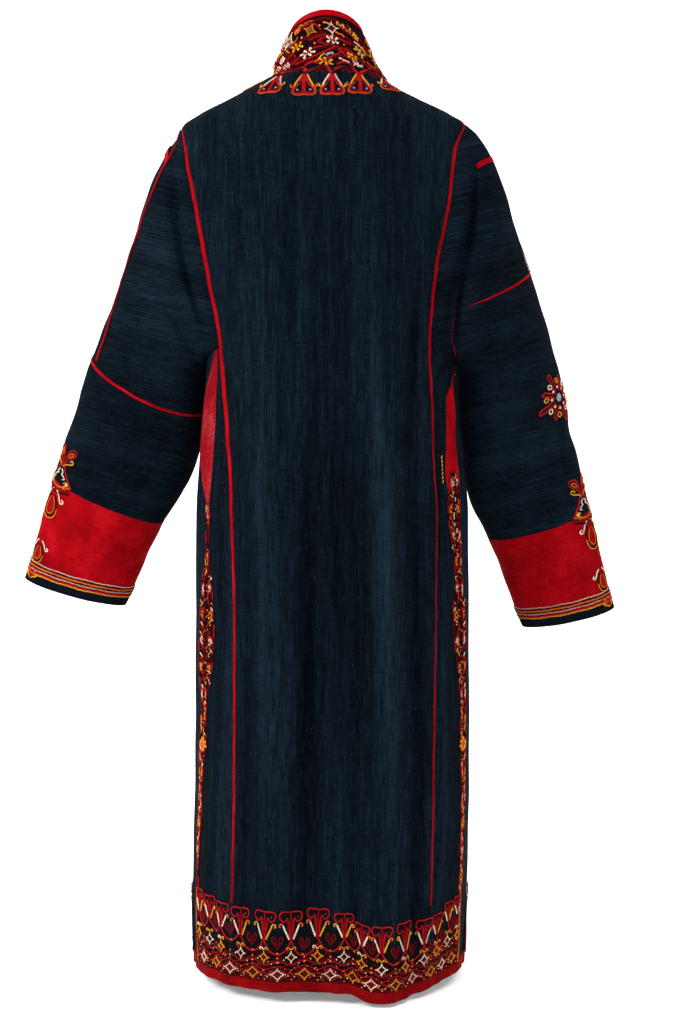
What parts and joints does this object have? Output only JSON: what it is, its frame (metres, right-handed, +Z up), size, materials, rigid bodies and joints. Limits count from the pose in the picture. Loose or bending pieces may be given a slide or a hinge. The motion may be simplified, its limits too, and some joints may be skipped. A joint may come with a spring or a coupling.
{
  "type": "chapan",
  "caption": "Long open-fronted Central Asian coat with a standing collar, long sleeves with red cuffs, red seam strips and an embroidered hem band, filled out as worn.",
  "frame": {"origin": "middle of the neck at the height where the collar is sewn on, where the wearer's shoulders hold the coat up", "axes": "+Z up along the coat's length, +Y out of the back, +X towards the wearer's left sleeve"},
  "size_m": [0.8019, 0.3191, 1.24],
  "materials": {
    "indigo_silk": "slubby woven silk, low sheen",
    "red_silk": "fine woven silk, soft sheen",
    "embroidered_cloth": "dense silk chain stitch",
    "dark_edge": "woven edging, low sheen"
  },
  "bodies": {
    "root": {"back_panel": "indigo_silk", "front_panel_left": "indigo_silk", "gore_back_left": "indigo_silk", "gore_front_left": "indigo_silk", "sleeve_upper_left": "indigo_silk", "sleeve_lower_left": "indigo_silk", "front_panel_right": "indigo_silk", "gore_back_right": "indigo_silk", "gore_front_right": "indigo_silk", "sleeve_upper_right": "indigo_silk", "sleeve_lower_right": "indigo_silk", "hem_binding": "red_silk", "collar_binding": "red_silk", "front_binding_left": "red_silk", "seam_strip_back_left": "red_silk", "seam_strip_front_left": "red_silk", "gusset_left": "red_silk", "sleeve_piping_left": "red_silk", "cuff_left": "red_silk", "shoulder_piping_left": "red_silk", "overarm_piping_left": "red_silk", "shoulder_bar_left": "red_silk", "front_binding_right": "red_silk", "seam_strip_back_right": "red_silk", "seam_strip_front_right": "red_silk", "gusset_right": "red_silk", "sleeve_piping_right": "red_silk", "cuff_right": "red_silk", "shoulder_piping_right": "red_silk", "overarm_piping_right": "red_silk", "shoulder_bar_right": "red_silk", "collar": "embroidered_cloth", "cuff_edge_left": "dark_edge", "cuff_edge_right": "dark_edge"}
  },
  "joints": []
}
